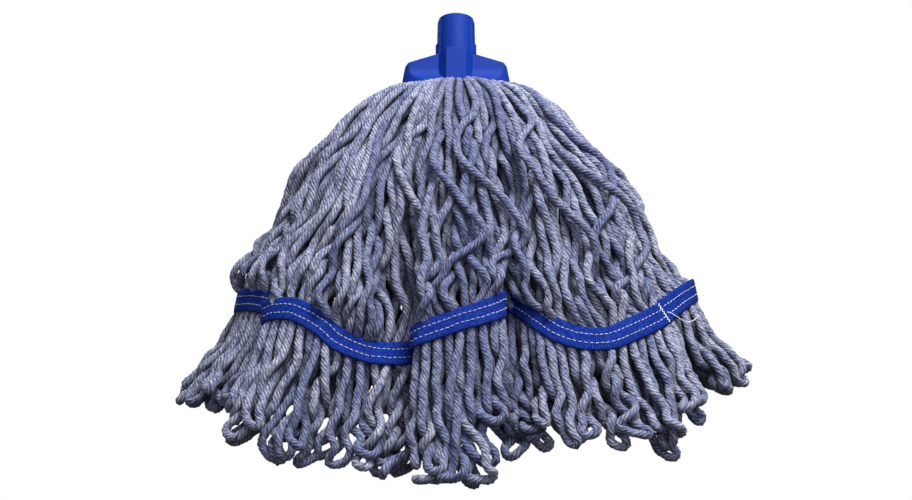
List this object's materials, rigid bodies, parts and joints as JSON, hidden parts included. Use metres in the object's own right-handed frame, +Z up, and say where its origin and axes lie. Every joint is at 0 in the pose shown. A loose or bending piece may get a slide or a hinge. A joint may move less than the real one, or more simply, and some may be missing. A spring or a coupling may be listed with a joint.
{
  "type": "string mop head",
  "caption": "Looped-end string mop head: twisted yarn strands clamped in a two-shell handle socket, joined by one stitched tape band.",
  "frame": {"origin": "centre of the handle socket's top rim, where the handle enters", "axes": "+Z up along the handle, +X to the right of the mop seen from its front, -Y to its front"},
  "size_m": [0.478, 0.223, 0.4351],
  "materials": {
    "blue_plastic": "moulded polypropylene, royal blue, satin with fine moulding texture",
    "screw_steel": "zinc plated steel",
    "heather_yarn": "four-ply twisted cotton blend yarn, blue-grey heather with navy and cream fibres",
    "band_tape": "ribbed woven tape, royal blue",
    "sewing_thread": "white polyester sewing thread"
  },
  "bodies": {
    "root": {"front_shell": "blue_plastic", "rear_shell": "blue_plastic", "shell_screw_left": "screw_steel", "shell_screw_right": "screw_steel", "yarn_bar": "screw_steel", "yarn_fold": "heather_yarn", "outer_hank_01": "heather_yarn", "outer_hank_02": "heather_yarn", "outer_hank_03": "heather_yarn", "outer_hank_04": "heather_yarn", "outer_hank_05": "heather_yarn", "outer_hank_06": "heather_yarn", "outer_hank_07": "heather_yarn", "outer_hank_08": "heather_yarn", "outer_hank_09": "heather_yarn", "outer_hank_10": "heather_yarn", "outer_hank_11": "heather_yarn", "outer_hank_12": "heather_yarn", "outer_hank_13": "heather_yarn", "outer_hank_14": "heather_yarn", "outer_hank_15": "heather_yarn", "outer_hank_16": "heather_yarn", "inner_hank_1": "heather_yarn", "inner_hank_2": "heather_yarn", "inner_hank_3": "heather_yarn", "inner_hank_4": "heather_yarn", "inner_hank_5": "heather_yarn", "inner_hank_6": "heather_yarn", "inner_hank_7": "heather_yarn", "inner_hank_8": "heather_yarn", "binding_tape": "band_tape", "tail_band": "band_tape", "band_stitching_upper": "sewing_thread", "band_stitching_lower": "sewing_thread", "band_bartack": "sewing_thread", "thread_tail": "sewing_thread"}
  },
  "joints": []
}
